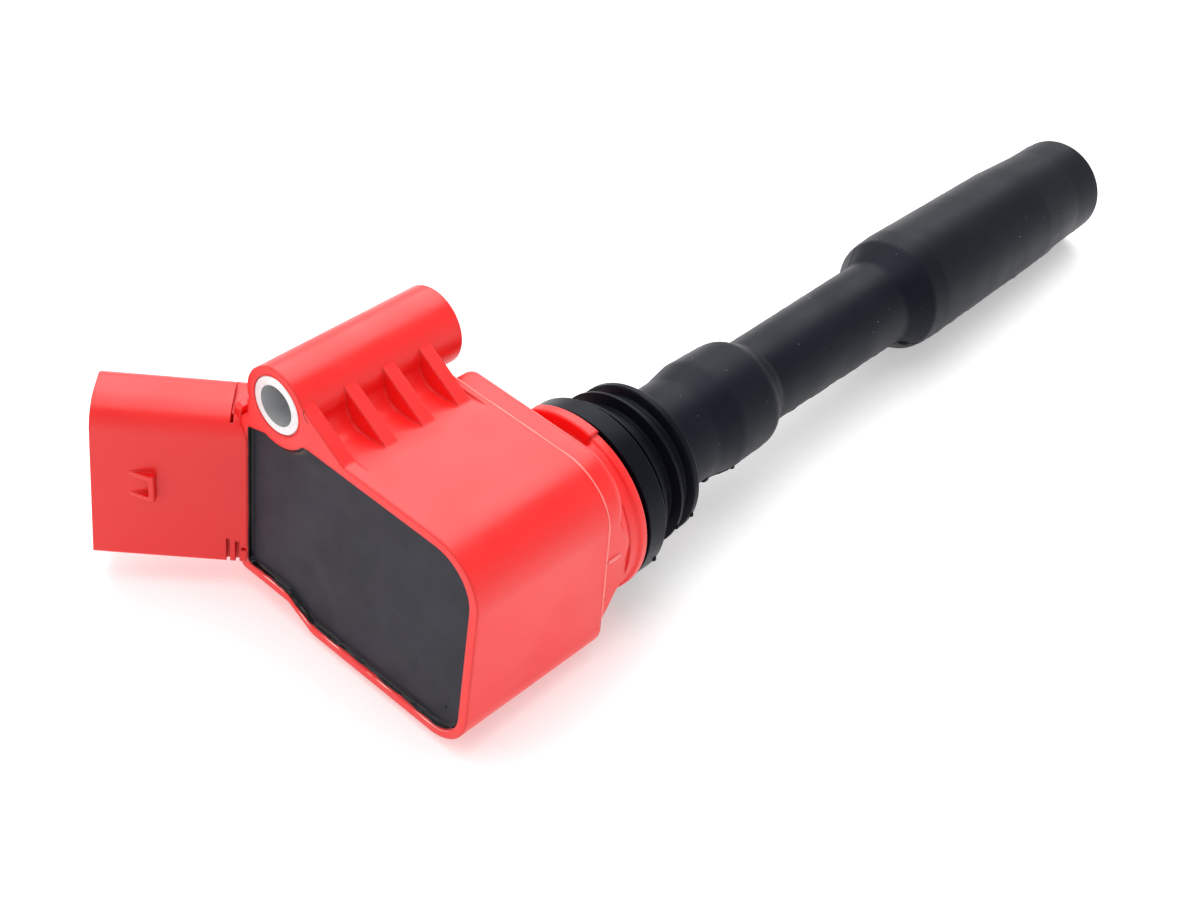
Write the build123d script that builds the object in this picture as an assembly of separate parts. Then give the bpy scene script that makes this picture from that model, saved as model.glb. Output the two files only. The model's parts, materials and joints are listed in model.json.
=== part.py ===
from build123d import *
import math
import os

# A coil-on-plug ignition coil, in millimetres.
# +X runs along the shaft from the head to the spark plug, +Z points to the bolt boss side and
# +Y to the harness socket. The origin is on the shaft axis, in the middle of the seal band.

# ---- stations along the shaft axis (X) ----
RIM_X = -37.3                    # open face of the head, where the resin is poured
RESIN_X = RIM_X + 0.9            # resin surface, just below the rim
CAVITY_END_X = RIM_X + 25.0
CAVITY_SIDE_END_X = RIM_X + 22.6  # where only the front of the head covers the cavity
HEAD_END_TOP_X = RIM_X + 24.9    # the front of the head ends in a slanted step
HEAD_END_LOW_X = RIM_X + 27.9
REAR_END_X = RIM_X + 29.5
BOSS_END_X = RIM_X + 29.2
NECK_X = RIM_X + 31.4            # the head meets the collar here
FLANGE_X = RIM_X + 33.3
COLLAR_END_X = RIM_X + 34.7
BAND_HALF = 1.75                 # the seal band is centred on the origin
SEAL_END_X = 11.9
NIPPLE_END_X = 35.5
SPRING_START_X = 28.6
CAP_X = 91.0
SOCKET_X = 98.4                  # the bore for the spark plug starts past the contact cap
TIP_X = 134.7

# ---- head section, seen along the shaft (Y, Z) ----
HEAD_LOW_Y = -14.0
HEAD_HIGH_Y = 32.6
HEAD_HALF_Z = 17.6
REAR_LOW_Y, REAR_HIGH_Y, REAR_HALF_Z = -13.75, 17.3, 17.3
WALL = 1.5
POCKET_LOW_Y = HEAD_LOW_Y + WALL
POCKET_HIGH_Y = HEAD_HIGH_Y - WALL
POCKET_HALF_Z = HEAD_HALF_Z - WALL
CAVITY_STEP_X = RIM_X + 2.5      # below this depth the cavity roof is lower, under the ribs
CAVITY_ROOF_Z = 15.0

# ---- bolt boss ----
BOLT_Y = 25.2
BOLT_Z = 19.65
BOSS_R, BOSS_END_R = 5.85, 6.05
BOSS_WALL_R = 6.5                # the boss as it stands in the resin pocket
SLEEVE_R = 4.5
SLEEVE_BORE_R = 3.1
RIB_THICK = 2.2
RIB_X = [RIM_X + x for x in (1.1, 8.4, 15.3, 22.1)]
RIB_FLOOR_Z = 17.0               # top of the head between the ribs

# ---- collar and tower ----
NECK_R = 14.05
GROOVE_R = 12.8                  # hollow in front of the tab
FLANGE_R = 14.5
TAB_R = 15.1
TAB_START, TAB_END = -11.0, 34.0  # degrees from +Z towards +Y
TOWER_R = 9.8
NIPPLE_R = 6.2
HV_BORE_R = 3.0

# ---- harness socket ----
SOCKET_ANGLE = 43.0              # from +Y back towards -X
SOCKET_ROOT = (RIM_X + 2.3, 36.6)  # middle of the socket's thickness, level with its root
SOCKET_THICK = 11.0
SOCKET_LOW_Z, SOCKET_HIGH_Z = -14.0, 13.3
SOCKET_TOP_R = 4.0
SOCKET_LENGTH = 19.4
MOUTH_TILT = 2.0                 # the mouth reaches a little further at its lower side
SEAM_AT = -0.4                   # seam across the socket's top, measured from its root
SOCKET_WALL = 1.3
SOCKET_DEPTH = 12.0
PIN_TIP = 14.4
PIN_PITCH = 4.5
PIN_WIDE, PIN_THICK = 1.5, 0.64
PIN_MID_Z = (SOCKET_LOW_Z + SOCKET_HIGH_Z) / 2
BOARD_X = RIM_X + 8.5            # front face of the driver board
PIN_BEND_Y = 30.8
PIN_INNER_Y = 26.2

# ---- transformer, wound about an axis along Y ----
COIL_X = RIM_X + 13.7
COIL_LOW_Y, COIL_HIGH_Y = -5.6, 12.8
CORE_SIDE = 7.0
CORE_LOW_Y, CORE_HIGH_Y = -5.85, 13.0
MAGNET_THICK = 1.2
YOKE_LOW_Y, YOKE_HIGH_Y, YOKE_HALF_Z = -9.0, 17.6, 13.4
YOKE_LEG = 3.1
BOBBIN_1_R, WINDING_1_R, FLANGE_1_R = 5.7, 6.8, 6.9
BOBBIN_2_IN_R, BOBBIN_2_R, WINDING_2_R, FLANGE_2_R = 7.1, 7.9, 9.7, 10.2
SECTIONS = 5
CLEAR = 0.05                     # between parts that are assembled together

# ---- seal, boot, spring and contact ----
BAND_R = 14.25
BOOT_X = 12.3
BOOT_GRIP_R = NIPPLE_R + 0.3
BOOT_CHANNEL_R = 3.6
PLUG_BORE_R = 5.2
SPRING_R, WIRE_R, SPRING_TURNS = 2.05, 0.4, 17
CAP_R = 3.2


def closed(corners):
    """Flat face from (a, b, corner radius) triples."""
    points = [(a, b) for a, b, _ in corners]
    radii = [radius for _, _, radius in corners]
    return make_face(FilletPolyline(*points, radius=radii, close=True))


def turned(corners):
    """Solid of revolution about the shaft axis from (x, r, corner radius) triples."""
    return revolve(closed(corners), axis=Axis.X)


def along_x(section, start, end):
    """Prism of a (Y, Z) section between two stations."""
    return extrude(Plane.YZ.offset(start) * section, amount=end - start)


def block(x, y, z):
    """Box from its (low, high) limits on each axis."""
    size = [high - low for low, high in (x, y, z)]
    middle = [(high + low) / 2 for low, high in (x, y, z)]
    return Pos(*middle) * Box(*size)


def rod_x(radius, start, end, y=0.0, z=0.0):
    return along_x(Pos(y, z) * Circle(radius), start, end)


def rod_y(radius, start, end, x=COIL_X, z=0.0):
    """Cylinder along Y between two heights, by default on the transformer's axis."""
    return Pos(x, (start + end) / 2, z) * Rot(90, 0, 0) * Cylinder(radius, end - start)


def socket_plane():
    """Plane across the socket: local x from its back to its front face, y up, z to the mouth."""
    angle = math.radians(SOCKET_ANGLE)
    back_to_front = (-math.cos(angle), -math.sin(angle), 0)
    to_mouth = (-math.sin(angle), math.cos(angle), 0)
    return Plane(origin=(*SOCKET_ROOT, 0), x_dir=back_to_front, z_dir=to_mouth)


def socket_section(inset, top_radius, low_radius):
    half = SOCKET_THICK / 2 - inset
    low, high = SOCKET_LOW_Z + inset, SOCKET_HIGH_Z - inset
    return closed([
        (-half, low, low_radius),
        (half, low, low_radius),
        (half, high, top_radius),
        (-half, high, top_radius),
    ])


def head_section():
    return closed([
        (HEAD_LOW_Y, -HEAD_HALF_Z, 6.5),
        (16.8, -HEAD_HALF_Z, 2.0),
        (22.0, -15.0, 2.0),
        (HEAD_HIGH_Y, -15.0, 1.2),
        (HEAD_HIGH_Y, 13.4, 1.0),
        (BOLT_Y + BOSS_R, 14.6, 1.0),
        (BOLT_Y + BOSS_R, HEAD_HALF_Z, 0.5),
        (HEAD_LOW_Y, HEAD_HALF_Z, 8.6),
    ])


def pocket_section(roof=POCKET_HALF_Z):
    """Inside of the head, with the scallop that leaves the bolt boss standing."""
    face = closed([
        (POCKET_LOW_Y, -POCKET_HALF_Z, 4.8),
        (17.4, -POCKET_HALF_Z, 1.2),
        (22.5, -13.6, 1.2),
        (POCKET_HIGH_Y, -13.5, 0.8),
        (POCKET_HIGH_Y, 12.4, 0.8),
        (27.1, 13.6, 0.5),
        (19.0, roof, 1.2),
        (POCKET_LOW_Y, roof, 7.0),
    ])
    return face - Pos(BOLT_Y, BOLT_Z) * Circle(BOSS_WALL_R)


def head_front():
    """Front of the head, which ends in a slanted step."""
    side = closed([
        (RIM_X, -HEAD_HALF_Z - 1, 0),
        (HEAD_END_LOW_X, -HEAD_HALF_Z, 3.2),
        (HEAD_END_TOP_X, HEAD_HALF_Z, 0),
        (RIM_X, HEAD_HALF_Z, 0),
    ])
    from_side = Pos(0, 50, 0) * extrude(Plane.XZ * side, amount=100)
    return along_x(head_section(), RIM_X, HEAD_END_LOW_X) & from_side


def head_rear():
    """Back of the head: a block above, a cone below, both narrowing to the collar."""
    section = closed([
        (REAR_LOW_Y, -REAR_HALF_Z, 6.2),
        (REAR_HIGH_Y, -REAR_HALF_Z, 2.0),
        (REAR_HIGH_Y, REAR_HALF_Z, 2.0),
        (REAR_LOW_Y, REAR_HALF_Z, 8.3),
    ])
    start = HEAD_END_TOP_X - 2
    cone = turned([
        (start, 0, 0),
        (start, 26.0, 0),
        (HEAD_END_LOW_X - 0.6, 17.0, 2.0),
        (REAR_END_X, 14.9, 2.0),
        (NECK_X, 14.1, 0.5),
        (NECK_X, 0, 0),
    ])
    upper_section = closed([
        (REAR_LOW_Y, 2.0, 0),
        (REAR_HIGH_Y, 2.0, 0),
        (REAR_HIGH_Y, REAR_HALF_Z, 2.0),
        (REAR_LOW_Y, REAR_HALF_Z, 8.3),
    ])
    upper = along_x(upper_section, start, REAR_END_X)
    upper = fillet(upper.faces().sort_by(Axis.X)[-1].edges(), 1.9)
    return (along_x(section, start, NECK_X) & cone) + upper


def tab_sector(margin=0.0):
    """Wedge about the shaft that covers the tab's arc."""
    reach = 40.0
    start, end = (math.radians(a) for a in (TAB_START - margin, TAB_END + margin))
    middle = (start + end) / 2
    wedge = make_face(Polyline(
        (0, 0),
        *[(reach * math.sin(a), reach * math.cos(a)) for a in (start, middle, end)],
        close=True,
    ))
    return along_x(wedge, NECK_X - 1, COLLAR_END_X + 1)


def collar_tab():
    """Raised stop on top of the flange, a short arc of a larger ring."""
    ring = turned([
        (FLANGE_X - 0.4, NECK_R - 2, 0),
        (COLLAR_END_X, NECK_R - 2, 0),
        (COLLAR_END_X, TAB_R, 0.3),
        (FLANGE_X - 0.4, TAB_R - 0.1, 0.3),
    ])
    return ring & tab_sector()


def tab_groove():
    """Hollow round the collar in front of the tab."""
    ring = rod_x(TAB_R + 3, NECK_X, FLANGE_X - 0.4) - rod_x(GROOVE_R, NECK_X - 1, FLANGE_X)
    return ring & tab_sector(2.0)


def gusset_rib(x):
    """Web from the boss down to the top of the head."""
    web = closed([
        (22.1, 22.7, 0),
        (20.4, 22.7, 0),
        (11.2, HEAD_HALF_Z - 0.3, 0.8),
        (10.6, HEAD_HALF_Z - 1.0, 0),
        (22.1, HEAD_HALF_Z - 1.0, 0),
    ])
    return along_x(web, x - RIB_THICK / 2, x + RIB_THICK / 2)


def boss_root():
    """Rounded corner between the top of the head and the boss."""
    side_y = BOLT_Y - BOSS_R
    corner = closed([
        (side_y - 3.6, RIB_FLOOR_Z - 1, 0),
        (side_y - 3.6, RIB_FLOOR_Z, 0),
        (side_y, RIB_FLOOR_Z, 3.4),
        (side_y, 20.6, 0),
        (side_y + 2.6, 20.6, 0),
        (side_y + 2.6, RIB_FLOOR_Z - 1, 0),
    ])
    return along_x(corner, RIM_X, HEAD_END_TOP_X)


def rib_hollow():
    """The top of the head slopes down a little towards the boss, along the ribs."""
    hollow = closed([
        (8.6, HEAD_HALF_Z + 0.02, 0),
        (14.2, RIB_FLOOR_Z, 12.0),
        (BOLT_Y, RIB_FLOOR_Z, 0),
        (BOLT_Y, HEAD_HALF_Z + 1, 0),
        (8.8, HEAD_HALF_Z + 1, 0),
    ])
    return along_x(hollow, RIM_X + RIB_THICK, HEAD_END_TOP_X - 1.0)


def cavity(start):
    """Deep part of the resin pocket; behind the boss it ends sooner."""
    deep = along_x(pocket_section(CAVITY_ROOF_Z), start, CAVITY_END_X)
    behind_boss = block((CAVITY_SIDE_END_X, CAVITY_END_X + 1), (REAR_HIGH_Y - WALL, 40), (-30, 30))
    return deep - behind_boss


def wall_window(extra=0.0):
    """Way through the head's end wall for the socket's spigot."""
    return block(
        (RIM_X + 3.2 - extra, RIM_X + 12.2 + extra),
        (POCKET_HIGH_Y - 1, HEAD_HIGH_Y + 1),
        (-10.2 - extra, 10.8 + extra),
    )


def bolt_boss():
    boss = turned([
        (RIM_X, 0, 0),
        (RIM_X, BOSS_R, 0),
        (BOSS_END_X, BOSS_END_R, 0.25),
        (BOSS_END_X, 0, 0),
    ])
    return Pos(0, BOLT_Y, BOLT_Z) * boss


def housing_shell():
    shell = head_front() - rib_hollow()
    shell = shell + head_rear() + boss_root() + bolt_boss()
    for x in RIB_X:
        shell += gusset_rib(x)
    shell -= along_x(pocket_section(), RIM_X - 1, CAVITY_STEP_X)
    shell -= cavity(CAVITY_STEP_X - 0.5)
    shell -= rod_x(HV_BORE_R, CAVITY_END_X - 1, NECK_X + 1)
    shell -= rod_x(SLEEVE_R, RIM_X - 1, BOSS_END_X + 1, BOLT_Y, BOLT_Z)
    shell -= wall_window(CLEAR)
    return shell


def seal_tower():
    """Collar and tube for the seal and the boot, moulded in one with the head."""
    tower = turned([
        (NECK_X, HV_BORE_R, 0),
        (NECK_X, NECK_R, 0),
        (FLANGE_X - 0.1, NECK_R, 0.3),
        (FLANGE_X, FLANGE_R, 0.25),
        (COLLAR_END_X, FLANGE_R, 0.3),
        (COLLAR_END_X, TOWER_R, 0),
        (SEAL_END_X, TOWER_R, 0.5),
        (SEAL_END_X, NIPPLE_R, 0),
        (NIPPLE_END_X, NIPPLE_R, 1.0),
        (NIPPLE_END_X, HV_BORE_R, 0.5),
    ])
    return tower - tab_groove() + collar_tab()


def mounting_sleeve():
    """Metal bush that carries the bolt's clamp load; its end stands 0.1 mm proud of the boss."""
    tube = rod_x(SLEEVE_R - 0.02, RIM_X, BOSS_END_X + 0.1, BOLT_Y, BOLT_Z)
    tube = chamfer(tube.edges().filter_by(GeomType.CIRCLE), 0.25)
    return tube - rod_x(SLEEVE_BORE_R, RIM_X - 1, BOSS_END_X + 1, BOLT_Y, BOLT_Z)


def terminal_pin(index):
    """Flat blade from the driver board, bent in the socket's floor to follow the socket."""
    angle = math.radians(SOCKET_ANGLE)
    root_x, root_y = SOCKET_ROOT
    back = (PIN_BEND_Y - root_y) / math.cos(angle)
    bend_x = root_x - back * math.sin(angle)
    tip = (root_x - PIN_TIP * math.sin(angle), root_y + PIN_TIP * math.cos(angle))
    path = Polyline(tip, (bend_x, PIN_BEND_Y), (bend_x, PIN_INNER_Y))
    z = PIN_MID_Z + (index - 2.5) * PIN_PITCH
    return Pos(0, 0, z - PIN_WIDE / 2) * extrude(trace(path, line_width=PIN_THICK), amount=PIN_WIDE)


def locking_ramp():
    """Hollow wedge on the socket's front face that the harness latch snaps over."""
    front = SOCKET_THICK / 2
    nose_low, nose_high = 10.1, 11.2
    foot = 14.0
    wedge = closed([
        (front - 0.5, nose_low, 0),
        (front + 1.25, nose_low + 0.3, 0.25),
        (front + 1.1, nose_high, 0.25),
        (front, foot, 0),
        (front - 0.5, foot, 0),
    ])
    # the wedge is drawn in (across, along) and stands between two heights
    side_plane = Plane(
        origin=socket_plane().origin + Vector(0, 0, -2.1),
        x_dir=socket_plane().x_dir,
        z_dir=(0, 0, 1),
    )
    ramp = extrude(side_plane * mirror(wedge, Plane.XZ), amount=4.6)
    hollow = block((front + 0.02, front + 3), (-foot, -nose_high), (0.75, 3.75))
    return ramp - side_plane * hollow


def mouth_trim():
    """Everything beyond the socket's slanted mouth."""
    plane = socket_plane().offset(SOCKET_LENGTH).rotated((MOUTH_TILT, 0, 0))
    return plane * Pos(0, 0, 5) * Box(60, 60, 10)


def root_slots():
    """Narrow gaps of the snap fit between the socket and the head."""
    front = SOCKET_THICK / 2
    gaps = [
        ((front - 1.2, front + 1), (-14.5, -9.2), (0.05, 0.6)),
        ((front - 1.2, front + 1), (-14.5, -9.6), (-1.3, -0.7)),
        ((front - 0.9, front + 1), (-11.4, -10.8), (-3.0, -1.6)),
        ((-front - 1, front - 1.0), (SOCKET_HIGH_Z - 0.9, SOCKET_HIGH_Z + 1), (SEAM_AT, SEAM_AT + 0.4)),
        ((front - 2.4, front - 1.0), (9.5, SOCKET_HIGH_Z + 1), (SEAM_AT, SEAM_AT + 0.4)),
    ]
    for across, height, along in gaps:
        yield socket_plane() * block(across, height, along)


def connector_shell():
    plane = socket_plane()
    root_reach = 14.0
    body = extrude(plane.offset(-root_reach) * socket_section(0, SOCKET_TOP_R, 0.8),
                   amount=root_reach + SOCKET_LENGTH + 2)
    behind_rim = block((RIM_X, RIM_X + 40), (HEAD_HIGH_Y, 80), (-30, 30))
    before_rim = block((RIM_X - 40, RIM_X), (POCKET_HIGH_Y, 80), (-30, 30))
    body &= behind_rim + before_rim
    body -= mouth_trim()
    flange_face = closed([
        (RIM_X + 0.1, -14.4, 0.8),
        (RIM_X + 15.4, -14.4, 0.8),
        (RIM_X + 15.4, 14.6, 3.0),
        (RIM_X + 0.1, 14.6, 0.8),
    ])
    flange = Pos(0, HEAD_HIGH_Y + 1.3, 0) * extrude(Plane.XZ * flange_face, amount=1.3)
    shell = body + flange + wall_window()
    shell &= block((RIM_X - 40, RIM_X + 40), (POCKET_HIGH_Y, 80), (-30, 30))
    hollow = extrude(plane.offset(SOCKET_LENGTH - SOCKET_DEPTH)
                     * socket_section(SOCKET_WALL, SOCKET_TOP_R - SOCKET_WALL, 0.5),
                     amount=SOCKET_DEPTH + 3)
    shell = shell - hollow + locking_ramp()
    for gap in root_slots():
        shell -= gap
    for index in range(1, 5):
        shell -= terminal_pin(index)
    return shell


def center_core():
    half = CORE_SIDE / 2
    return block((COIL_X - half, COIL_X + half), (CORE_LOW_Y, CORE_HIGH_Y), (-half, half))


def core_magnet():
    half = CORE_SIDE / 2
    low = CORE_HIGH_Y + CLEAR
    return block((COIL_X - half, COIL_X + half), (low, low + MAGNET_THICK), (-half, half))


def outer_core(clear=0.0):
    """Closed stack of laminations round the windings."""
    half = CORE_SIDE / 2
    x = (COIL_X - half - clear, COIL_X + half + clear)
    outside = block(x, (YOKE_LOW_Y - clear, YOKE_HIGH_Y + clear),
                    (-YOKE_HALF_Z - clear, YOKE_HALF_Z + clear))
    window_z = YOKE_HALF_Z - YOKE_LEG
    window = block(x, (YOKE_LOW_Y + YOKE_LEG, YOKE_HIGH_Y - YOKE_LEG), (-window_z, window_z))
    return outside - window


def core_cushion(clear=0.0):
    """Silicone strip that lets the core grow with heat without cracking the resin."""
    half = CORE_SIDE / 2
    return block((COIL_X - half - clear, COIL_X + half + clear),
                 (YOKE_LOW_Y - 0.8 - clear, YOKE_LOW_Y - CLEAR), (-12 - clear, 12 + clear))


def primary_bobbin():
    body = rod_y(BOBBIN_1_R, COIL_LOW_Y, COIL_HIGH_Y)
    for low in (COIL_LOW_Y, COIL_HIGH_Y - 0.8):
        body += rod_y(FLANGE_1_R, low, low + 0.8)
    half = CORE_SIDE / 2 + CLEAR
    return body - block((COIL_X - half, COIL_X + half), (-20, 20), (-half, half))


def primary_winding():
    low, high = COIL_LOW_Y + 0.85, COIL_HIGH_Y - 0.85
    return rod_y(WINDING_1_R, low, high) - rod_y(BOBBIN_1_R + CLEAR, low - 1, high + 1)


def section_pitch():
    return (COIL_HIGH_Y - COIL_LOW_Y - 0.7) / SECTIONS


def secondary_bobbin():
    """Tube with dividers that split the high-voltage winding into sections."""
    body = rod_y(BOBBIN_2_R, COIL_LOW_Y, COIL_HIGH_Y)
    for number in range(SECTIONS + 1):
        low = COIL_LOW_Y + number * section_pitch()
        body += rod_y(FLANGE_2_R, low, low + 0.7)
    return body - rod_y(BOBBIN_2_IN_R, COIL_LOW_Y - 1, COIL_HIGH_Y + 1)


def secondary_winding():
    rings = []
    for number in range(SECTIONS):
        low = COIL_LOW_Y + number * section_pitch() + 0.75
        high = low + section_pitch() - 0.8
        ring = rod_y(WINDING_2_R, low, high) - rod_y(BOBBIN_2_R + CLEAR, low - 1, high + 1)
        rings.append(ring.solid())
    return Compound(children=rings)


def driver_board(clear=0.0):
    return block((BOARD_X - clear, BOARD_X + 1.0 + clear),
                 (18.8 - clear, 29.8 + clear), (-12.2 - clear, 12.2 + clear))


def igbt_switch(clear=0.0):
    """Power switch: moulded body with a metal tab and three legs on the board."""
    body = block((BOARD_X - 4.0 - clear, BOARD_X - CLEAR),
                 (19.4 - clear, 25.4 + clear), (-4.6 - clear, 3.4 + clear))
    tab = block((BOARD_X - 1.3 - clear, BOARD_X - CLEAR),
                (20.2 - clear, 24.6 + clear), (3.4, 5.2 + clear))
    return body + tab


def noise_capacitor(clear=0.0):
    return block((BOARD_X - 2.8 - clear, BOARD_X - CLEAR),
                 (19.8 - clear, 24.0 + clear), (7.0 - clear, 11.2 + clear))


def lead_frame():
    """Two copper strips from the board to the ends of the primary winding."""
    strips = []
    for z in (-9.6, 8.2):
        path = Polyline((BOARD_X + 1.35, 28.2), (BOARD_X + 1.35, 13.4))
        strip = extrude(trace(path, line_width=0.5), amount=1.4)
        strips.append((Pos(0, 0, z) * strip).solid())
    return Compound(children=strips)


def hv_terminal():
    """Brass stem and cup that carry the high voltage into the tower."""
    return turned([
        (COIL_X + FLANGE_2_R + 0.3, 0, 0),
        (COIL_X + FLANGE_2_R + 0.3, 2.4, 0.2),
        (COIL_X + FLANGE_2_R + 1.1, 2.4, 0.2),
        (COIL_X + FLANGE_2_R + 1.1, 1.4, 0),
        (CAVITY_END_X + 3.0, 1.4, 0),
        (CAVITY_END_X + 3.0, HV_BORE_R - CLEAR, 0.4),
        (CAVITY_END_X + 10.8, HV_BORE_R - CLEAR, 0.4),
        (CAVITY_END_X + 10.8, 0, 0),
    ])


def hv_diode(clear=0.0):
    x, z = RIM_X + 22.4, -12.2
    body = rod_y(1.4 + clear, -4.0 - clear, 5.0 + clear, x, z)
    return body + rod_y(0.35 + clear, -7.5 - clear, 8.5 + clear, x, z)


def suppressor_resistor():
    """Ceramic rod with pressed end caps."""
    start, end = CAVITY_END_X + 11.0, SPRING_START_X - 0.2
    return turned([
        (start, 0, 0),
        (start, 2.6, 0.4),
        (start + 4, 2.6, 0.2),
        (start + 4, 2.3, 0),
        (end - 4, 2.3, 0),
        (end - 4, 2.6, 0.2),
        (end, 2.6, 0.4),
        (end, 0, 0),
    ])


def potting_resin():
    """Cast fill of the head, with the room that the buried parts take."""
    fill = along_x(pocket_section(), RESIN_X, CAVITY_STEP_X)
    fill += cavity(CAVITY_STEP_X)
    fill -= wall_window(CLEAR)
    fill -= rod_y(FLANGE_2_R + CLEAR, CORE_LOW_Y, YOKE_HIGH_Y - YOKE_LEG)
    for buried in (outer_core, core_cushion, driver_board, igbt_switch, noise_capacitor, hv_diode):
        fill -= buried(CLEAR)
    fill -= lead_frame()
    fill -= hv_terminal()
    for index in range(1, 5):
        fill -= terminal_pin(index)
    return fill


def well_seal():
    """Rubber sleeve on the tower: one wide band and three thin lips."""
    inner = TOWER_R + 0.02
    groove = 11.0
    corners = [
        (COLLAR_END_X + CLEAR, inner, 0),
        (COLLAR_END_X + CLEAR, BAND_R - 1.2, 0.3),
        (-BAND_HALF, BAND_R - 1.2, 0.1),
        (-BAND_HALF, BAND_R, 0.2),
        (BAND_HALF, BAND_R, 0.2),
        (BAND_HALF + 0.2, groove, 0.2),
    ]
    for foot, crest, radius in ((2.8, 3.4, 13.0), (6.6, 7.5, 12.6)):
        corners += [
            (foot, groove, 0.2),
            (crest - 0.35, radius, 0.1),
            (crest + 0.15, radius, 0.1),
            (crest + 0.6, groove, 0.2),
        ]
    corners += [
        (9.9, groove, 0.4),
        (10.5, 12.35, 0.3),
        (SEAL_END_X - 0.1, 12.35, 0.5),
        (SEAL_END_X - 0.1, inner, 0),
    ]
    return turned(corners)


def plug_boot():
    """Silicone boot: grip over the nipple, slim neck, then the spark plug socket."""
    return turned([
        (BOOT_X, BOOT_GRIP_R, 0.3),
        (BOOT_X, 8.5, 0.5),
        (BOOT_X + 9.0, 8.55, 6.0),
        (BOOT_X + 14.0, 9.4, 5.0),
        (35.1, 9.2, 3.0),
        (38.4, 7.2, 2.2),
        (73.2, 7.5, 2.5),
        (77.8, 9.95, 2.0),
        (82.0, 10.15, 6.0),
        (116.0, 9.75, 9.0),
        (127.0, 9.1, 6.0),
        (TIP_X, 9.05, 0.7),
        (TIP_X, PLUG_BORE_R, 0.8),
        (SOCKET_X, PLUG_BORE_R, 0.3),
        (SOCKET_X - 0.9, BOOT_CHANNEL_R, 0.3),
        (NIPPLE_END_X + 1.6, BOOT_CHANNEL_R, 0.4),
        (NIPPLE_END_X + 0.4, BOOT_GRIP_R, 0.4),
    ])


def contact_spring():
    """Open coil that presses the contact cap against the spark plug."""
    height = CAP_X - 0.1 - SPRING_START_X - 2 * WIRE_R
    helix = Helix(pitch=height / SPRING_TURNS, height=height, radius=SPRING_R)
    wire = sweep(Plane(origin=helix @ 0, z_dir=helix % 0) * Circle(WIRE_R), path=helix)
    return Pos(SPRING_START_X + WIRE_R, 0, 0) * Rot(0, 90, 0) * wire


def contact_cap():
    """Brass cap with a cup for the spark plug's terminal."""
    return turned([
        (CAP_X, 0, 0),
        (CAP_X, CAP_R, 0.5),
        (CAP_X + 6.5, CAP_R, 0.6),
        (CAP_X + 6.5, 2.3, 0.3),
        (CAP_X + 4.0, 1.8, 0.3),
        (CAP_X + 4.0, 0, 0),
    ])


PARTS = [
    housing_shell, seal_tower, connector_shell, mounting_sleeve, potting_resin, well_seal, plug_boot,
    center_core, outer_core, core_magnet, core_cushion,
    primary_bobbin, primary_winding, secondary_bobbin, secondary_winding,
    driver_board, igbt_switch, noise_capacitor, lead_frame,
    hv_terminal, hv_diode, suppressor_resistor, contact_spring, contact_cap,
]

os.makedirs("parts", exist_ok=True)
for make in PARTS:
    export_step(make(), f"parts/{make.__name__}.step")
for number in range(1, 5):
    export_step(terminal_pin(number), f"parts/terminal_pin_{number}.step")
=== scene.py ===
import json
import math

import bmesh
import bpy
from mathutils import Matrix, Vector, noise
from mathutils.bvhtree import BVHTree


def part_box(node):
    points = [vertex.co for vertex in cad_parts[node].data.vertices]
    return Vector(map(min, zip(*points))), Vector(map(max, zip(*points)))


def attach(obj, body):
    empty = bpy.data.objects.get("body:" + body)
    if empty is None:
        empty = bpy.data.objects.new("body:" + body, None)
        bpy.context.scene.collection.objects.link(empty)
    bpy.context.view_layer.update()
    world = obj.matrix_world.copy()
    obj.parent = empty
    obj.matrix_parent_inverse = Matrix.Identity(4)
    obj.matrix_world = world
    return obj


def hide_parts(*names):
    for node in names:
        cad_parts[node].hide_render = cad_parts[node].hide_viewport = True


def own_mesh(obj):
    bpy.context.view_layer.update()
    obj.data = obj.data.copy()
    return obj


# The looks of a coil-on-plug ignition coil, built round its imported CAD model. Metres, CAD frame:
# +X runs along the shaft from the head to the spark plug, +Z is the bolt boss side, +Y the socket.

MM = 0.001

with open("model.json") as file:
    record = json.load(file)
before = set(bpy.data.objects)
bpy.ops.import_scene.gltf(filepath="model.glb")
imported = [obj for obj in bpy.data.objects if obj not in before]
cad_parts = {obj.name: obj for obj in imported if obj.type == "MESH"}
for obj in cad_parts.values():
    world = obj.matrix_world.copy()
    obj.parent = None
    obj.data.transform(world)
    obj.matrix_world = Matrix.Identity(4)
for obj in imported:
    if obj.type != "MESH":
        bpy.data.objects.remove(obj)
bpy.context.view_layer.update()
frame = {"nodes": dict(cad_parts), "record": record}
nodes = frame["nodes"]


def box_mm(name):
    """Lowest and highest corner of a CAD node, in millimetres."""
    low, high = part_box(name)
    return low / MM, high / MM


HEAD_LOW = box_mm("housing_shell")[0]       # low corner of the head
RIM_X = HEAD_LOW.x                          # rim round the head's open face
RESIN_X = box_mm("potting_resin")[0].x      # surface of the resin behind that rim
BOOT_START_X, BOOT_TIP_X = (corner.x for corner in box_mm("plug_boot"))
PARTING = 234.7                             # where the boot's mould parts, in degrees as in around()
FRONT = Vector((-1.0, 0.0, 0.0))            # the way the head's open face looks
FREE_END = Vector((0.0, -1.0, 0.0))         # the way the head's end looks that has no socket


# ---------------------------------------------------------------- materials

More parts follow.
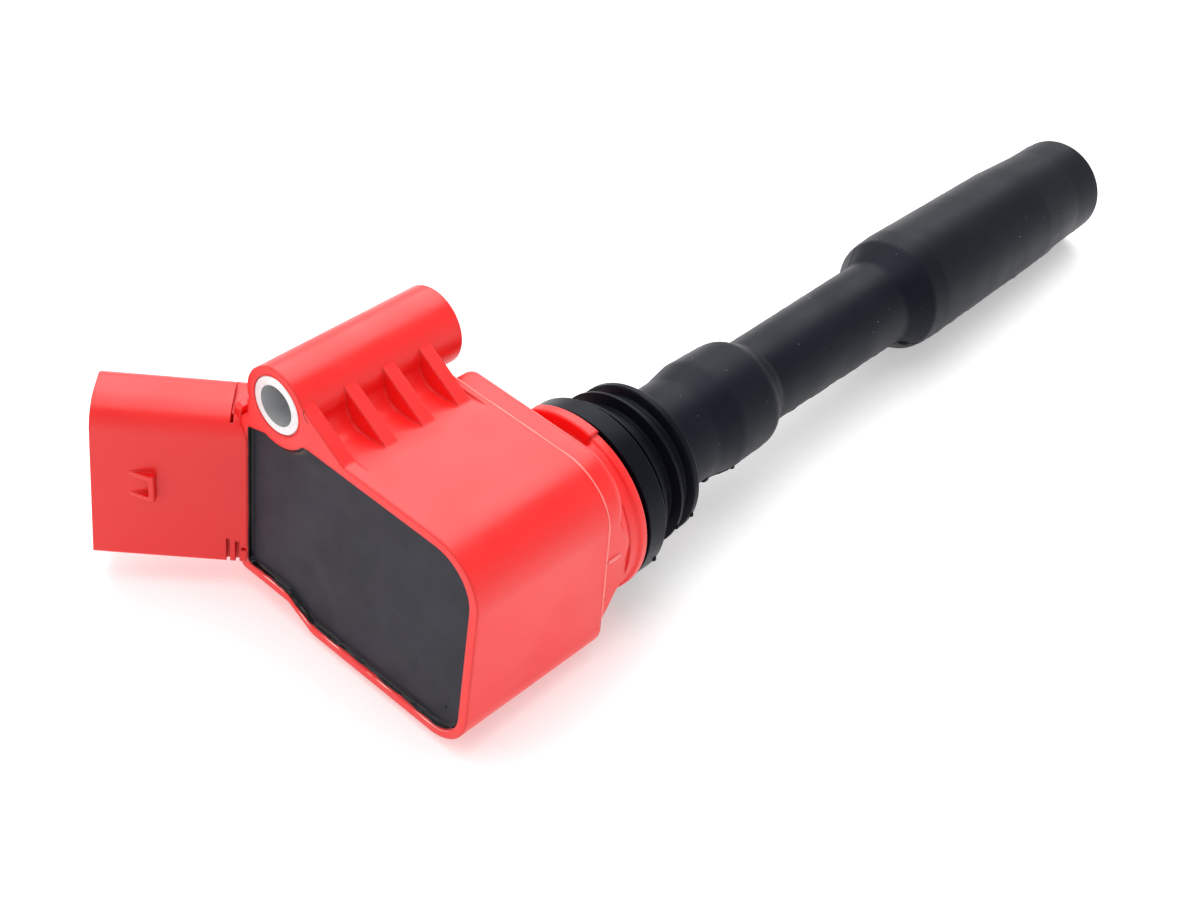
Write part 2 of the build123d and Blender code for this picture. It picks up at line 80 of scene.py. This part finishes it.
class Surface:
    """A Principled material that is built up from procedural nodes in the object's own space."""

    def __init__(self, name, roughness, **fixed):
        self.material = bpy.data.materials.new(name)
        self.material.use_nodes = True
        self.tree = self.material.node_tree
        self.shader = self.tree.nodes["Principled BSDF"]
        self.shader.inputs["Roughness"].default_value = roughness
        for socket, value in fixed.items():
            self.shader.inputs[socket.replace("_", " ")].default_value = value
        self.place = self.tree.nodes.new("ShaderNodeTexCoord").outputs["Object"]
        self.normal = None

    def node(self, kind, inputs=(), **settings):
        """A new shader node. Each of its inputs is given a value or the output that feeds it."""
        made = self.tree.nodes.new("ShaderNode" + kind)
        for key, value in settings.items():
            setattr(made, key, value)
        for key, value in dict(inputs).items():
            if isinstance(value, bpy.types.NodeSocket):
                self.tree.links.new(value, made.inputs[key])
            else:
                made.inputs[key].default_value = value
        return made

    def stretched(self, x=1.0, y=1.0, z=1.0):
        """Object space scaled per axis, for grain that runs one way."""
        return self.node("Mapping", {"Vector": self.place, "Scale": (x, y, z)}).outputs["Vector"]

    def noise(self, size_mm, detail=2.0, rough=0.5, distortion=0.0, place=None):
        """Fractal noise whose largest feature is about size_mm across, from 0 to 1."""
        return self.node("TexNoise", {
            "Vector": place or self.place, "Scale": 1000.0 / size_mm, "Detail": detail,
            "Roughness": rough, "Distortion": distortion,
        }).outputs["Fac"]

    def levels(self, value, low, high, out_low=0.0, out_high=1.0):
        """Stretches value from low..high to out_low..out_high, clamped."""
        return self.node("MapRange", {
            "Value": value, "From Min": low, "From Max": high,
            "To Min": out_low, "To Max": out_high,
        }, interpolation_type="SMOOTHSTEP").outputs["Result"]

    def math(self, operation, a, b=0.0):
        return self.node("Math", {0: a, 1: b}, operation=operation).outputs[0]

    def mix(self, amount, a, b):
        """Colour a where amount is 0 and b where it is 1."""
        made = self.node("Mix", data_type="RGBA")
        factor, first, second, result = 0, 6, 7, 2      # the sockets that a mix of colours uses
        for index, value in ((factor, amount), (first, a), (second, b)):
            if isinstance(value, bpy.types.NodeSocket):
                self.tree.links.new(value, made.inputs[index])
            elif index == factor:
                made.inputs[index].default_value = value
            else:
                made.inputs[index].default_value = (*value, 1.0)
        return made.outputs[result]

    def colour(self, value):
        self.tree.links.new(value, self.shader.inputs["Base Color"])

    def roughness(self, value):
        self.tree.links.new(value, self.shader.inputs["Roughness"])

    def bump(self, height, depth_mm, strength=1.0):
        """Adds relief of depth_mm on top of what is there."""
        inputs = {"Height": height, "Distance": depth_mm * MM, "Strength": strength}
        if self.normal is not None:
            inputs["Normal"] = self.normal
        self.normal = self.node("Bump", inputs).outputs["Normal"]
        self.tree.links.new(self.normal, self.shader.inputs["Normal"])

    def specks(self, cell_mm, radius_mm, share):
        """1 inside small round specks, one in some of the cells, and 0 elsewhere."""
        cells = self.node("TexVoronoi", {
            "Vector": self.place, "Scale": 1000.0 / cell_mm, "Randomness": 1.0,
        })
        radius = radius_mm / cell_mm
        near = self.levels(cells.outputs["Distance"], radius, 0.4 * radius)
        lottery = self.node("SeparateColor", {"Color": cells.outputs["Color"]}).outputs[0]
        chosen = self.math("LESS_THAN", lottery, share)
        return self.math("MULTIPLY", near, chosen)


def red_plastic(name, main, deep, rough, round_mm=0.3):
    """Satin red PBT: slight colour drift, soft sink marks, and edges rounded by round_mm."""
    s = Surface(name, rough, IOR=1.5)
    drift = s.levels(s.noise(22, 4, 0.55), 0.3, 0.7)
    s.colour(s.mix(s.math("MULTIPLY", drift, 0.5), main, deep))
    s.roughness(s.levels(s.noise(8, 2), 0.3, 0.7, rough - 0.05, rough + 0.06))
    s.normal = s.node("Bevel", {"Radius": round_mm * MM}, samples=6).outputs["Normal"]
    s.bump(s.noise(14, 2), 0.10, 0.25)
    s.bump(s.noise(0.9, 1), 0.006, 0.4)
    return s.material


def rubber(name, main, worn, rough, shine, dust=True):
    """Matt moulded silicone, faintly mottled, with light scuffs along the shaft and white dust."""
    s = Surface(name, rough, Specular_IOR_Level=shine, Specular_Tint=(0.80, 0.88, 1.0, 1.0))
    mottle = s.levels(s.noise(16, 4, 0.6), 0.3, 0.7)
    tone = s.mix(s.math("MULTIPLY", mottle, 0.6), main, worn)
    scuffs = s.levels(s.noise(9, 6, 0.7, 0.4, s.stretched(0.25, 1.0, 1.0)), 0.62, 0.78)
    tone = s.mix(s.math("MULTIPLY", scuffs, 0.18), tone, (0.026, 0.030, 0.040))
    if dust:
        patches = s.levels(s.noise(18, 2), 0.38, 0.56)
        flecks = s.math("MAXIMUM", s.specks(3.4, 0.16, 0.45), s.specks(1.7, 0.09, 0.35))
        tone = s.mix(s.math("MULTIPLY", flecks, patches), tone, (0.36, 0.37, 0.40))
    s.colour(tone)
    s.roughness(s.levels(s.noise(7, 3, 0.5), 0.3, 0.7, rough - 0.03, rough + 0.05))
    s.bump(s.noise(6, 2), 0.03, 0.2)
    s.bump(s.noise(0.5, 2, 0.6), 0.006, 0.5)
    return s.material


def epoxy(name, main, cloud, rough, wave_mm, shine):
    """Potting resin: cloudy, gently uneven where it set."""
    s = Surface(name, rough, Specular_IOR_Level=shine)
    clouds = s.levels(s.noise(13, 5, 0.6, 0.6), 0.3, 0.72)
    tone = s.mix(clouds, main, cloud)
    tone = s.mix(s.math("MULTIPLY", s.specks(4.0, 0.08, 0.3), 0.6), tone, (0.22, 0.22, 0.24))
    s.colour(tone)
    s.roughness(s.levels(s.noise(5, 4), 0.3, 0.7, rough - 0.05, rough + 0.08))
    s.bump(s.noise(8, 2), wave_mm, 0.4)
    s.bump(s.noise(0.6, 3), 0.006, 0.5)
    return s.material


def metal(name, main, stain, rough, grain_mm=0.25, along=(1.0, 1.0, 1.0), metallic=1.0):
    """Bare metal with fine drawn or turned grain and dull patches."""
    s = Surface(name, rough, Metallic=metallic)
    lines = s.noise(grain_mm, 4, 0.7, 0.0, s.stretched(*along))
    patches = s.levels(s.noise(4, 4, 0.6), 0.35, 0.7)
    s.colour(s.mix(patches, main, stain))
    unevenness = s.math("ADD", lines, s.math("MULTIPLY", patches, 0.3))
    s.roughness(s.levels(unevenness, 0.3, 1.0, rough - 0.06, rough + 0.14))
    s.bump(lines, 0.01, 0.5)
    return s.material


def matt(name, main, other, rough, size_mm=2.0, depth_mm=0.02, **fixed):
    """A plain insulating part: two close tones and a fine relief."""
    s = Surface(name, rough, **fixed)
    s.colour(s.mix(s.levels(s.noise(size_mm, 4, 0.6), 0.35, 0.7), main, other))
    s.roughness(s.levels(s.noise(size_mm * 2, 3), 0.3, 0.7, rough - 0.05, rough + 0.07))
    s.bump(s.noise(size_mm * 0.3, 3), depth_mm, 0.5)
    return s.material


def banded(name, main, dark, rough, pitch_mm, axis, depth_mm, **fixed):
    """Stacked sheets or laid wire: fine bands at a fixed pitch across one axis."""
    s = Surface(name, rough, **fixed)
    repeat = math.pi / 10.0         # of the wave texture, in its own scaled space
    wave = s.node("TexWave", {
        "Vector": s.place, "Scale": repeat / (pitch_mm * MM), "Distortion": 0.3, "Detail": 1.0,
    }, bands_direction=axis).outputs["Fac"]
    drift = s.levels(s.noise(5, 3), 0.3, 0.7, 0.0, 0.4)
    s.colour(s.mix(s.math("MAXIMUM", s.levels(wave, 0.35, 0.05), drift), main, dark))
    s.roughness(s.levels(s.noise(3, 3), 0.3, 0.7, rough - 0.05, rough + 0.1))
    s.bump(wave, depth_mm, 0.8)
    return s.material


red = red_plastic("red_plastic", (0.84, 0.012, 0.011), (0.76, 0.009, 0.008), 0.34, round_mm=0.7)
red_socket = red_plastic("red_socket", (0.76, 0.010, 0.009), (0.70, 0.008, 0.007), 0.36)
# Light pink for the step's flash line and the side dash: painted highlight along their tops.
red_painted_highlight = red_plastic("red_painted_highlight", (0.92, 0.23, 0.21), (0.90, 0.16, 0.145), 0.28)
# Dark red for the rim mark: painted shade in an engraved groove.
red_painted_groove_shade = red_plastic("red_painted_groove_shade", (0.20, 0.004, 0.004), (0.15, 0.003, 0.003), 0.40)
boot_black = rubber("boot_black", (0.0030, 0.0035, 0.0074), (0.0058, 0.0066, 0.0124), 0.42,
                    shine=0.13)
seal_black = rubber("seal_black", (0.0026, 0.0028, 0.0058), (0.0046, 0.0048, 0.0092), 0.36,
                    shine=0.10, dust=False)
resin = epoxy("resin", (0.016, 0.017, 0.023), (0.025, 0.024, 0.035), 0.38,
              wave_mm=0.10, shine=0.14)
# Near-black gloss for the resin's edge and blister: wet gloss, with painted shade of the gap at the
# pocket wall.
resin_gloss_and_painted_shade = epoxy("resin_gloss_and_painted_shade", (0.002, 0.002, 0.003), (0.004, 0.004, 0.006), 0.14,
                    wave_mm=0.02, shine=0.25)
# Bright pink: painted highlight along the rim's inner edge.
painted_rim_highlight = epoxy("painted_rim_highlight", (0.85, 0.30, 0.27), (0.90, 0.58, 0.52), 0.18,
                   wave_mm=0.03, shine=0.9)
finishes = {    # by the record's material slots
    "red_housing": red,
    "red_socket": red_socket,
    "sleeve_metal": metal("sleeve_steel", (0.80, 0.81, 0.82), (0.70, 0.71, 0.72), 0.34,
                          grain_mm=0.3, along=(0.1, 1.0, 1.0), metallic=0.72),
    "resin": resin,
    "seal_rubber": seal_black,
    "boot_rubber": boot_black,
    "core_steel": banded("laminations", (0.30, 0.30, 0.31), (0.10, 0.10, 0.11), 0.38,
                         pitch_mm=1.1, axis="X", depth_mm=0.03, Metallic=0.9),
    "magnet": metal("magnet_nickel", (0.55, 0.55, 0.54), (0.34, 0.34, 0.34), 0.32),
    "cushion": matt("cushion_rubber", (0.03, 0.03, 0.03), (0.05, 0.05, 0.05), 0.75),
    "bobbin": matt("bobbin_plastic", (0.05, 0.05, 0.055), (0.09, 0.09, 0.10), 0.5),
    "copper": banded("enamelled_wire", (0.62, 0.22, 0.06), (0.28, 0.08, 0.02), 0.28,
                     pitch_mm=0.94, axis="Y", depth_mm=0.06, Metallic=0.9),
    "board": matt("circuit_board", (0.01, 0.13, 0.05), (0.02, 0.20, 0.09), 0.35),
    "chip": matt("chip_epoxy", (0.02, 0.02, 0.022), (0.035, 0.035, 0.04), 0.45),
    "capacitor": matt("capacitor_film", (0.60, 0.30, 0.06), (0.50, 0.22, 0.04), 0.35),
    "brass": metal("brass", (0.80, 0.58, 0.26), (0.62, 0.42, 0.18), 0.28),
    "ceramic": matt("ceramic", (0.72, 0.70, 0.64), (0.60, 0.58, 0.52), 0.4),
    "spring_steel": metal("spring_steel", (0.55, 0.56, 0.58), (0.40, 0.40, 0.42), 0.28),
    "tinned": metal("tinned_copper", (0.74, 0.74, 0.72), (0.60, 0.58, 0.54), 0.3),
}
for node in nodes.values():
    slot_name = node.data.materials[0].name.split(".")[0]
    node.data.materials[0] = finishes[slot_name]


# ---------------------------------------------------------------- detail pieces, in millimetres

def piece(name, points, faces, material, body, crease=40.0):
    """A closed mesh piece that rides on a CAD body, smooth but for its sharp edges."""
    mesh = bpy.data.meshes.new(name)
    mesh.from_pydata([point * MM for point in points], [], faces)
    shape = bmesh.new()
    shape.from_mesh(mesh)
    bmesh.ops.recalc_face_normals(shape, faces=shape.faces)
    for face in shape.faces:
        face.smooth = True
    for edge in shape.edges:
        edge.smooth = len(edge.link_faces) == 2 and edge.calc_face_angle() < math.radians(crease)
    shape.to_mesh(mesh)
    shape.free()
    mesh.materials.append(material)
    made = bpy.data.objects.new(name, mesh)
    bpy.context.scene.collection.objects.link(made)
    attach(made, body)
    return made


def sweep(name, rings, material, body, closed=False, crease=40.0):
    """A piece through rings of equally many points; an open run gets end caps."""
    count = len(rings[0])
    faces = []
    for step in range(len(rings) if closed else len(rings) - 1):
        near, far = step * count, (step + 1) % len(rings) * count
        for k in range(count):
            after = (k + 1) % count
            faces.append((near + k, near + after, far + after, far + k))
    if not closed:
        faces.append(tuple(range(count)))
        faces.append(tuple(reversed(range(len(rings) * count - count, len(rings) * count))))
    return piece(name, [point for ring in rings for point in ring], faces, material, body, crease)


def bead(name, path, outward, width, height, material, body, swell=None, closed=False):
    """A rounded ridge lying on a surface. swell(i) scales its size along the path."""
    arc, sunk = 6, 0.06
    rings = []
    for i, (point, normal) in enumerate(zip(path, outward)):
        before = path[i - 1] if closed or i else path[0]
        after = path[(i + 1) % len(path)] if closed or i < len(path) - 1 else path[-1]
        side = (after - before).cross(normal).normalized()
        size = swell(i) if swell else 1.0
        ring = []
        for k in range(arc + 1):
            angle = math.pi * k / arc
            ring.append(point + side * (width / 2 * math.cos(angle) * size)
                        + normal * (height * math.sin(angle) * size))
        ring += [ring[-1] - normal * sunk, ring[0] - normal * sunk]
        rings.append(ring)
    return sweep(name, rings, material, body, closed)


def steps(start, end, count):
    """Evenly spaced values, both ends included."""
    return [start + (end - start) * i / (count - 1) for i in range(count)]


def circle(count):
    """Evenly spaced angles once round, in radians."""
    return steps(0.0, 2 * math.pi, count + 1)[:-1]


def tapered(count, power=1.0, ends=0.6):
    """A swell for bead(): full in the middle of count points, thinner towards both ends."""
    return lambda i: math.sin(math.pi * (i + ends) / (count - 1 + 2 * ends)) ** power


def wobble(value, size, seed=0.0):
    """Smooth noise of about -0.5 to 0.5 that changes over size."""
    return noise.noise(Vector((value / size, seed, 0.37)))


def around(x, radius, degrees):
    """Point at a radius about the shaft; 0 degrees is +Z and 90 is +Y."""
    angle = math.radians(degrees)
    return Vector((x, radius * math.sin(angle), radius * math.cos(angle)))


def skin_radius(tree, x, degrees):
    """Radius of a node's outer skin, found by a ray towards the shaft."""
    outside = 40.0
    hit = tree.ray_cast(around(x, outside, degrees) * MM, around(0.0, -1.0, degrees))[0]
    return math.hypot(hit.y, hit.z) / MM


def node_tree(name):
    """A CAD node's mesh, ready for rays."""
    mesh = nodes[name].data
    return BVHTree.FromPolygons([v.co for v in mesh.vertices], [p.vertices for p in mesh.polygons])


def ragged(stations, seed, share):
    """A swell for bead(): half size where the flash came off clean, more by share where it tore."""
    def size(i):
        x = stations[i]
        tears = 1.2 * max(0.0, wobble(x, 2.2, seed)) + max(0.0, wobble(x, 0.9, seed))
        return 0.5 + share * tears
    return size


def mould_lines():
    """Parting lines of the boot, slightly ragged, on both sides of the mould."""
    tree = node_tree("plug_boot")
    stations = steps(BOOT_START_X + 0.6, BOOT_TIP_X - 0.8, 243)
    width, height = 0.30, 0.11
    for letter, degrees, share in (("a", PARTING, 1.0), ("b", PARTING - 180.0, 0.25)):
        path = [around(x, skin_radius(tree, x, degrees), degrees) for x in stations]
        outward = [around(0.0, 1.0, degrees)] * len(path)
        bead(f"boot_parting_line_{letter}", path, outward, width, height, boot_black, "boot",
             ragged(stations, degrees, share))


def flash_bits():
    """Small torn ends of flash: some along the boot's parting line, one on each lip of the seal."""
    count, width = 9, 0.5
    tree = node_tree("plug_boot")
    places = ((20.8, 1.6, 0.45), (26.9, 1.0, 0.35), (74.9, 1.9, 0.5), (121.0, 5.2, 0.22))
    for number, (middle, length, height) in enumerate(places, 1):
        stations = steps(middle - length / 2, middle + length / 2, count)
        path = [around(x, skin_radius(tree, x, PARTING), PARTING) for x in stations]
        outward = [around(0.0, 1.0, PARTING)] * count
        bead(f"boot_flash_{number}", path, outward, width, height, boot_black, "boot",
             tapered(count, 0.5))
    tree = node_tree("well_seal")
    height, half_turn, sunk = 0.42, 3.0, 0.05
    places = ((1.3, 250.0), (3.3, 256.0), (7.4, 256.0), (11.1, 256.0))
    for number, (x, middle) in enumerate(places, 1):
        radius = skin_radius(tree, x, middle) - sunk
        turns = steps(middle - half_turn, middle + half_turn, count)
        path = [around(x, radius, degrees) for degrees in turns]
        outward = [around(0.0, 1.0, degrees) for degrees in turns]
        bead(f"seal_nib_{number}", path, outward, width, height, seal_black, "coil", tapered(count))


def front_outline(name, x):
    """Corners, in order, of the flat face that a node turns to -X at station x."""
    mesh = nodes[name].data
    limit = 0.01 * MM
    count = {}
    places = {}
    for polygon in mesh.polygons:
        corners = [mesh.vertices[i].co for i in polygon.vertices]
        if any(abs(corner.x - x * MM) > limit for corner in corners):
            continue
        keys = [tuple(round(value, 7) for value in corner[1:]) for corner in corners]
        for i, key in enumerate(keys):
            places[key] = Vector(key) / MM
            edge = frozenset((key, keys[(i + 1) % len(keys)]))
            count[edge] = count.get(edge, 0) + 1
    beside = {}
    for edge, uses in count.items():
        if uses == 1 and len(edge) == 2:
            a, b = sorted(edge)
            beside.setdefault(a, []).append(b)
            beside.setdefault(b, []).append(a)
    start = min(beside)
    loop, here, before = [start], beside[start][0], start
    while here != start:
        loop.append(here)
        here, before = next(key for key in beside[here] if key != before), here
    return [places[key] for key in loop]


def resampled(loop, pitch):
    """The same closed outline with corners evenly pitch apart."""
    points, spare = [], 0.0
    for a, b in zip(loop, loop[1:] + loop[:1]):
        length = (b - a).length
        at = spare
        while at < length:
            points.append(a.lerp(b, at / length))
            at += pitch
        spare = at - length
    return points


def inward_normals(loop):
    """Unit normals that point into a closed outline, one for each of its corners."""
    area = sum(a.x * b.y - b.x * a.y for a, b in zip(loop, loop[1:] + loop[:1]))
    turn = 1.0 if area > 0 else -1.0
    normals = []
    for i in range(len(loop)):
        along = (loop[(i + 2) % len(loop)] - loop[i - 2]).normalized()
        normals.append(Vector((-along.y, along.x)) * turn)
    return normals


def resin_edge():
    """The resin creeps up the wall of its pocket, most unevenly along the head's underside. Its
    near-black edge is wet gloss and painted shade of the gap at the wall, widest under the bolt boss.
    """
    pitch = 0.35
    loop = resampled(front_outline("potting_resin", RESIN_X), pitch)
    inward = inward_normals(loop)
    bore = next(mount for mount in frame["record"]["mounts"] if mount["name"] == "bolt_bore")
    bolt = Vector(bore["pos_m"][1:]) / MM
    boss_radius = 6.5               # of the bolt boss where it stands in the pocket
    skirt = 0.15                    # how far the edge goes on below the resin's surface
    # The edge's outline from the wall out: share of its reach, and share of its rise there
    profile = [(0.0, 1.0), (0.08, 0.97)]
    profile += [(share, (1.0 - share) ** 2.2) for share in (0.2, 0.4, 0.65, 1.0)]
    rings = []
    for i, (point, normal) in enumerate(zip(loop, inward)):
        at = i * pitch
        underside = min(1.0, max(0.0, (normal.y - 0.2) / 0.5))
        # Wider under the bolt boss: painted shade of the shadow there.
        under_boss = max(0.0, 1.0 - abs((point - bolt).length - boss_radius) / 0.5)
        ripple = wobble(at, 3.1) + 0.6 * wobble(at, 1.1, 5.0)
        rise = 0.76 - 0.06 * underside + (0.06 + 0.20 * underside) * ripple
        reach = 0.34 + underside * (0.25 + 0.4 * wobble(at, 2.3, 9.0)) + 0.9 * under_boss
        ring = []
        for out, up in profile:
            place = point + normal * (reach * out - 0.01)
            ring.append(Vector((RESIN_X - rise * up, place.x, place.y)))
        ring.append(Vector((RESIN_X + skirt, ring[-1].y, ring[-1].z)))
        ring.append(Vector((RESIN_X + skirt, ring[0].y, ring[0].z)))
        rings.append(ring)
    sweep("resin_edge", rings, resin_gloss_and_painted_shade, "coil", closed=True, crease=70.0)
    rim_painted_highlight_bead(loop, inward, pitch)


def rim_painted_highlight_bead(loop, inward, pitch):
    """A thin bright pink bead on the rim along the head's underside: painted highlight of the rim's
    inner edge.
    """
    path = []
    for i, (point, normal) in enumerate(zip(loop, inward)):
        if normal.y > 0.45 or (normal.x < -0.3 and normal.y > 0.2):
            place = point - normal * (0.16 + 0.10 * wobble(i * pitch, 2.6, 3.0))
            path.append((i, Vector((RIM_X + 0.02, place.x, place.y))))
    # The outline may start inside this stretch: the run then starts after the gap
    split = next((k for k in range(1, len(path)) if path[k][0] - path[k - 1][0] > 1), 0)
    run = [point for _, point in path[split:] + path[:split]]
    bead("rim_painted_highlight_bead", run, [FRONT] * len(run), 0.17, 0.05, painted_rim_highlight, "coil",
         lambda i: 0.15 + 1.1 * max(0.0, 0.5 + 1.6 * wobble(i * pitch, 1.9, 11.0)))


def resin_pimple():
    """A low round blister on the resin."""
    centre = Vector((RESIN_X - 0.01, -9.3, -12.2))
    radius, height, sunk = 0.28, 0.16, 0.1
    side = FRONT.orthogonal().normalized()
    other = FRONT.cross(side)
    rings = []
    for share in (0.0, 0.25, 0.5, 0.75, 0.95):
        angle = share * math.pi / 2
        middle = centre + FRONT * (height * math.cos(angle) ** 1.5)
        spread = radius * max(0.02, math.sin(angle))
        rings.append([middle + side * (spread * math.cos(a)) + other * (spread * math.sin(a))
                      for a in circle(16)])
    rings.append([point - FRONT * sunk for point in rings[-1]])
    sweep("resin_pimple", rings, resin_gloss_and_painted_shade, "coil")


def step_flash():
    """Flash line over the top and down the free end of the head, where its slanted step begins, in
    light pink as a painted highlight.
    """
    low_y, top_z = HEAD_LOW.y, -HEAD_LOW.z
    top_x, slant = RIM_X + 24.9, 3.0    # the step at the top, and how much further back at the bottom
    corner = 8.6
    first_y, last_z = 16.6, -9.0
    ahead, sunk = 0.06, 0.03
    centre_y, centre_z = low_y + corner, top_z - corner
    outline = [(y, top_z, 0.0) for y in steps(first_y, centre_y, 30)]
    for degrees in steps(0.0, 90.0, 24)[1:]:
        angle = math.radians(degrees)
        y, z = centre_y - corner * math.sin(angle), centre_z + corner * math.cos(angle)
        outline.append((y, z, degrees))
    outline += [(low_y, z, 90.0) for z in steps(centre_z, last_z, 30)[1:]]
    path, normals = [], []
    for y, z, degrees in outline:
        angle = math.radians(degrees)
        normal = Vector((0.0, -math.sin(angle), math.cos(angle)))
        x = top_x + slant * (top_z - z) / (2 * top_z) - ahead
        path.append(Vector((x, y, z)) - normal * sunk)
        normals.append(normal)
    bead("step_flash_line", path, normals, 0.42, 0.16, red_painted_highlight, "coil",
         lambda i: 0.8 + 0.4 * wobble(i, 6.0))


def side_dash():
    """A short moulded dash behind the step, on the free end of the head, in light pink as a painted
    highlight.
    """
    count = 9
    path = [Vector((x, HEAD_LOW.y + 0.26, 2.1)) for x in steps(-10.6, -7.9, count)]
    bead("side_dash", path, [FREE_END] * count, 0.70, 0.34, red_painted_highlight, "coil",
         tapered(count, 0.4, 1.2))


def rim_mark():
    """A small hooked knock on the rim, beside the bolt boss, as a low dark red bead: painted shade of
    an engraved groove.
    """
    angles = [math.radians(degrees) for degrees in steps(10.0, 70.0, 5)]
    hook = [(19.45 + 0.35 * math.sin(angle), 21.5 + math.cos(angle)) for angle in angles]
    hook += [(19.6, 21.4), (19.2, 21.0), (18.8, 20.8)]
    path = [Vector((RIM_X + 0.01, y, z)) for y, z in hook]
    bead("rim_mark", path, [FRONT] * len(path), 0.16, 0.05, red_painted_groove_shade, "coil")


def coil_spring():
    """The contact spring with its closed ends."""
    start, end = 28.62, 90.88
    radius, wire = 2.05, 0.38           # both are radii
    turns, end_turns = 17.0, 1.4
    points_a_turn, sides = 28, 10
    closed_pitch = 2 * wire
    pitch = (end - start - closed_pitch - 2 * end_turns * closed_pitch) / (turns - 2 * end_turns)
    rise = closed_pitch / (2 * math.pi * radius)    # the wire's section stands square to this slope
    rings = []
    for i in range(int(turns * points_a_turn) + 1):
        turn = i / points_a_turn
        closed = min(turn, end_turns) + max(0.0, turn - (turns - end_turns))
        x = start + wire + closed * closed_pitch + (turn - closed) * pitch
        spoke = around(0.0, 1.0, turn * 360.0)
        across = Vector((1.0, 0.0, 0.0)) - around(0.0, 1.0, turn * 360.0 + 90.0) * rise
        across.normalize()
        middle = Vector((x, 0.0, 0.0)) + spoke * radius
        rings.append([middle + spoke * (wire * math.cos(a)) + across * (wire * math.sin(a))
                      for a in circle(sides)])
    spring = sweep("wound_spring", rings, finishes["spring_steel"], "coil", crease=60.0)
    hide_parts("contact_spring")
    # The spring stands on its seat at 28.6 and the contact moves 6.0 towards it
    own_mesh(spring)


mould_lines()
flash_bits()
resin_edge()
step_flash()
side_dash()
rim_mark()
resin_pimple()
coil_spring()


# ---------------------------------------------------------------- floor, camera and light

def lowest(points, slope):
    """Height at x = 0 of a floor of this slope that just touches the points from below."""
    return min(point.z - slope * point.x for point in points)


def resting_slope():
    """Slope, and height at x = 0, of the floor that the head's edge and the boot's tip stand on."""
    points = [v.co for name in ("housing_shell", "plug_boot") for v in nodes[name].data.vertices]
    head = [p for p in points if p.x < 0]
    tail = [p for p in points if p.x >= 0]
    low, high = 0.0, 0.3
    for _ in range(40):
        slope = (low + high) / 2
        if lowest(head, slope) < lowest(tail, slope):
            low = slope
        else:
            high = slope
    return slope, lowest(head, slope)


def make_floor():
    """Floor that the part rests on. It falls a little past the boot's tip, for the boot to slide."""
    slope, height = resting_slope()
    half, fall = 8.0, 0.05          # half its width, and its slope past the crest
    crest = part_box("plug_boot")[1][0] + 1.0 * MM
    crest_height = height + slope * crest
    rows = [
        (-half, height - slope * half),
        (crest, crest_height),
        (half, crest_height - fall * (half - crest)),
    ]
    corners = [(x, y, z) for x, z in rows for y in (-half, half)]
    mesh = bpy.data.meshes.new("floor")
    mesh.from_pydata(corners, [], [(0, 2, 3, 1), (2, 4, 5, 3)])
    floor = bpy.data.objects.new("floor", mesh)
    bpy.context.scene.collection.objects.link(floor)
    s = Surface("floor_white", 0.7, Emission_Color=(1.0, 1.0, 1.0, 1.0), Emission_Strength=0.34)
    s.colour(s.mix(s.noise(300, 2), (0.74, 0.74, 0.74), (0.76, 0.76, 0.76)))
    mesh.materials.append(s.material)


def make_camera():
    """Camera at the photograph's viewing angle: heading from +X towards +Y, then dip, then roll."""
    place = Vector((-0.16611, -0.12329, 0.18144))
    heading, dip, roll = (math.radians(a) for a in (36.21, 39.95, 8.97))
    ahead = Vector((math.cos(heading), math.sin(heading), 0.0))
    forward = ahead * math.cos(dip) - Vector((0.0, 0.0, math.sin(dip)))
    level = Vector((math.sin(heading), -math.cos(heading), 0.0))
    right = level * math.cos(roll) + level.cross(forward) * math.sin(roll)
    up = right.cross(forward)
    data = bpy.data.cameras.new("camera")
    data.lens = 56.27
    data.sensor_width = 36.0
    data.clip_start, data.clip_end = 0.01, 50.0
    camera = bpy.data.objects.new("camera", data)
    camera.matrix_world = Matrix.LocRotScale(place, Matrix((right, up, -forward)).transposed(), None)
    bpy.context.scene.collection.objects.link(camera)
    bpy.context.scene.camera = camera


def area_light(name, place, aim, size, power):
    """A square softbox of that size at place, turned to aim."""
    data = bpy.data.lights.new(name, "AREA")
    data.shape = "SQUARE"
    data.size = size
    data.energy = power
    light = bpy.data.objects.new(name, data)
    light.location = place
    light.rotation_euler = (Vector(aim) - Vector(place)).to_track_quat("-Z", "Y").to_euler()
    bpy.context.scene.collection.objects.link(light)


def make_light():
    """A white studio, a little darker overhead, with three soft lights."""
    world = bpy.data.worlds.new("studio")
    world.use_nodes = True
    tree = world.node_tree
    direction = tree.nodes.new("ShaderNodeTexCoord").outputs["Generated"]
    height = tree.nodes.new("ShaderNodeSeparateXYZ")
    ramp = tree.nodes.new("ShaderNodeMapRange")
    ramp.interpolation_type = "SMOOTHSTEP"
    for name, value in (("From Min", 0.20), ("From Max", 0.60), ("To Min", 1.0), ("To Max", 0.62)):
        ramp.inputs[name].default_value = value
    tree.links.new(direction, height.inputs[0])
    tree.links.new(height.outputs["Z"], ramp.inputs["Value"])
    tree.links.new(ramp.outputs["Result"], tree.nodes["Background"].inputs["Strength"])
    tree.nodes["Background"].inputs["Color"].default_value = (1.0, 1.0, 1.0, 1.0)
    bpy.context.scene.world = world
    centre = (0.02, 0.0, 0.0)
    area_light("back_softbox", (0.46, 0.42, 0.70), centre, 0.9, 7.0)
    area_light("overhead", (-0.10, 0.05, 0.95), centre, 0.7, 4.0)
    area_light("window", (-0.60, 0.45, 0.45), centre, 0.5, 1.3)
    bpy.context.scene.view_settings.view_transform = "Standard"


make_floor()
make_camera()
make_light()
